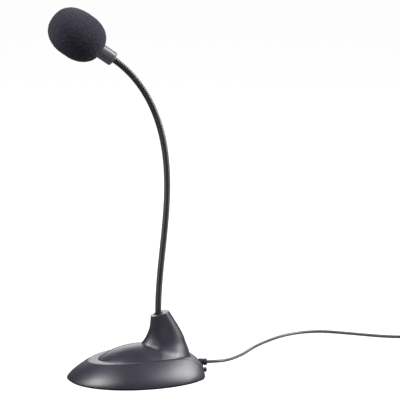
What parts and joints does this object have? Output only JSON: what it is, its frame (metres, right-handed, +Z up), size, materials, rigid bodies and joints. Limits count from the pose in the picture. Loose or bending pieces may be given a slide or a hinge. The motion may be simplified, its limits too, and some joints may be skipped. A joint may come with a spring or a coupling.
{
  "type": "gooseneck desk microphone",
  "caption": "Desktop microphone: foam windscreen over a small capsule barrel on a wound flexible gooseneck, weighted oval plastic base with rear slide switch, cable and 3.5 mm jack.",
  "frame": {"origin": "centre of the base's flat underside, on the face of the anti-slip pad", "axes": "+Z up, -Y towards the nose of the base and the way the head points, +Y to the rear where the cable leaves, +X the side nearest the picture's camera"},
  "size_m": [0.1466, 0.3272, 0.2719],
  "materials": {
    "shell_plastic": "satin, fine moulded texture",
    "cover_plastic": "satin, fine moulded texture",
    "plate_plastic": "matte",
    "pad_rubber": "matte foam rubber",
    "ballast_iron": "rough cast",
    "screw_steel": "zinc plated",
    "bush_rubber": "matte",
    "switch_can": "tin plated",
    "switch_board": "paper laminate",
    "contact_brass": "plain",
    "knob_plastic": "satin",
    "ferrule_brass": "turned",
    "clamp_steel": "zinc plated",
    "neck_steel": "satin dark coating",
    "lead_insulation": "satin vinyl",
    "wire_insulation": "satin vinyl",
    "barrel_plastic": "satin",
    "circuit_board": "solder mask",
    "capsule_aluminium": "bare",
    "holder_rubber": "matte",
    "capsule_felt": "felt",
    "grille_steel": "perforated",
    "windscreen_foam": "open-cell foam",
    "cable_pvc": "satin vinyl",
    "tie_plastic": "coated wire strip",
    "plug_plastic": "satin moulded",
    "plug_metal": "nickel plated",
    "plug_insulator": "satin"
  },
  "bodies": {
    "base": {"base_shell": "shell_plastic", "top_cover": "cover_plastic", "bottom_plate": "plate_plastic", "anti_slip_pad": "pad_rubber", "ballast_weight": "ballast_iron", "plate_screws": "screw_steel", "ballast_screws": "screw_steel", "cover_screws": "screw_steel", "clamp_screws": "screw_steel", "cable_bush": "bush_rubber", "switch_frame": "switch_can", "switch_base": "switch_board", "switch_terminals": "contact_brass", "neck_ferrule_lower": "ferrule_brass", "neck_clamp_plate": "clamp_steel", "mic_lead_tail": "lead_insulation", "output_lead_tail": "cable_pvc", "cord_lead": "cable_pvc", "cord_coil": "cable_pvc", "cord_tail": "cable_pvc", "coil_tie": "tie_plastic", "plug_body": "plug_plastic", "plug_collar": "plug_metal", "plug_sleeve": "plug_metal", "plug_ring": "plug_metal", "plug_tip": "plug_metal", "plug_insulators": "plug_insulator", "neck_winding_00": "neck_steel", "neck_lead_00": "lead_insulation"},
    "neck_1": {"neck_winding_01": "neck_steel", "neck_lead_01": "lead_insulation"},
    "neck_2": {"neck_winding_02": "neck_steel", "neck_lead_02": "lead_insulation"},
    "neck_3": {"neck_winding_03": "neck_steel", "neck_lead_03": "lead_insulation"},
    "neck_4": {"neck_winding_04": "neck_steel", "neck_lead_04": "lead_insulation"},
    "neck_5": {"neck_winding_05": "neck_steel", "neck_lead_05": "lead_insulation"},
    "neck_6": {"neck_winding_06": "neck_steel", "neck_lead_06": "lead_insulation"},
    "neck_7": {"neck_winding_07": "neck_steel", "neck_lead_07": "lead_insulation"},
    "neck_8": {"neck_winding_08": "neck_steel", "neck_lead_08": "lead_insulation"},
    "neck_9": {"neck_winding_09": "neck_steel", "neck_lead_09": "lead_insulation"},
    "head": {"neck_winding_10": "neck_steel", "neck_lead_10": "lead_insulation", "head_barrel": "barrel_plastic", "neck_ferrule_upper": "ferrule_brass", "capsule_wires": "wire_insulation", "capsule_board": "circuit_board", "electret_capsule": "capsule_aluminium", "capsule_holder": "holder_rubber", "capsule_felt": "capsule_felt", "capsule_grille": "grille_steel"},
    "windscreen": {"windscreen": "windscreen_foam"},
    "switch_knob": {"switch_knob": "knob_plastic", "switch_contact": "contact_brass"}
  },
  "joints": [
    {"name": "neck_bend_1", "type": "hinge", "parent": "base", "child": "neck_1", "pos_m": [0, 0.01701, 0.0575], "axis": [1, 0, 0], "range_deg": [-15, 18]},
    {"name": "neck_sway_1", "type": "hinge", "parent": "neck_1", "child": "neck_2", "pos_m": [0, 0.01841, 0.07745], "axis": [0, 0.9956, -0.0934], "range_deg": [-15, 15]},
    {"name": "neck_bend_2", "type": "hinge", "parent": "neck_2", "child": "neck_3", "pos_m": [0, 0.0205, 0.09734], "axis": [1, 0, 0], "range_deg": [-15, 18]},
    {"name": "neck_sway_2", "type": "hinge", "parent": "neck_3", "child": "neck_4", "pos_m": [0, 0.02252, 0.11723], "axis": [0, 0.9962, -0.0871], "range_deg": [-15, 15]},
    {"name": "neck_bend_3", "type": "hinge", "parent": "neck_4", "child": "neck_5", "pos_m": [0, 0.02373, 0.13719], "axis": [1, 0, 0], "range_deg": [-15, 18]},
    {"name": "neck_sway_3", "type": "hinge", "parent": "neck_5", "child": "neck_6", "pos_m": [0, 0.02339, 0.15718], "axis": [0, 0.9976, 0.0687], "range_deg": [-15, 15]},
    {"name": "neck_bend_4", "type": "hinge", "parent": "neck_6", "child": "neck_7", "pos_m": [0, 0.02074, 0.17699], "axis": [1, 0, 0], "range_deg": [-15, 18]},
    {"name": "neck_sway_4", "type": "hinge", "parent": "neck_7", "child": "neck_8", "pos_m": [0, 0.01512, 0.19616], "axis": [0, 0.9307, 0.3657], "range_deg": [-15, 15]},
    {"name": "neck_bend_5", "type": "hinge", "parent": "neck_8", "child": "neck_9", "pos_m": [0, 0.00597, 0.21391], "axis": [1, 0, 0], "range_deg": [-15, 18]},
    {"name": "neck_sway_5", "type": "hinge", "parent": "neck_9", "child": "head", "pos_m": [0, -0.00693, 0.22912], "axis": [0, 0.6751, 0.7377], "range_deg": [-15, 15]},
    {"name": "windscreen_pull", "type": "slide", "parent": "head", "child": "windscreen", "axis": [0, -0.8231, 0.5678], "range_m": [0, 0.05]},
    {"name": "switch_slide", "type": "slide", "parent": "base", "child": "switch_knob", "axis": [1, 0, 0], "range_m": [0, 0.002]}
  ],
  "couplings": [
    {"joint": "neck_bend_2", "follows": "neck_bend_1", "ratio": 1},
    {"joint": "neck_bend_3", "follows": "neck_bend_1", "ratio": 1},
    {"joint": "neck_bend_4", "follows": "neck_bend_1", "ratio": 1},
    {"joint": "neck_bend_5", "follows": "neck_bend_1", "ratio": 1},
    {"joint": "neck_sway_2", "follows": "neck_sway_1", "ratio": 1},
    {"joint": "neck_sway_3", "follows": "neck_sway_1", "ratio": 1},
    {"joint": "neck_sway_4", "follows": "neck_sway_1", "ratio": 1},
    {"joint": "neck_sway_5", "follows": "neck_sway_1", "ratio": 1}
  ]
}
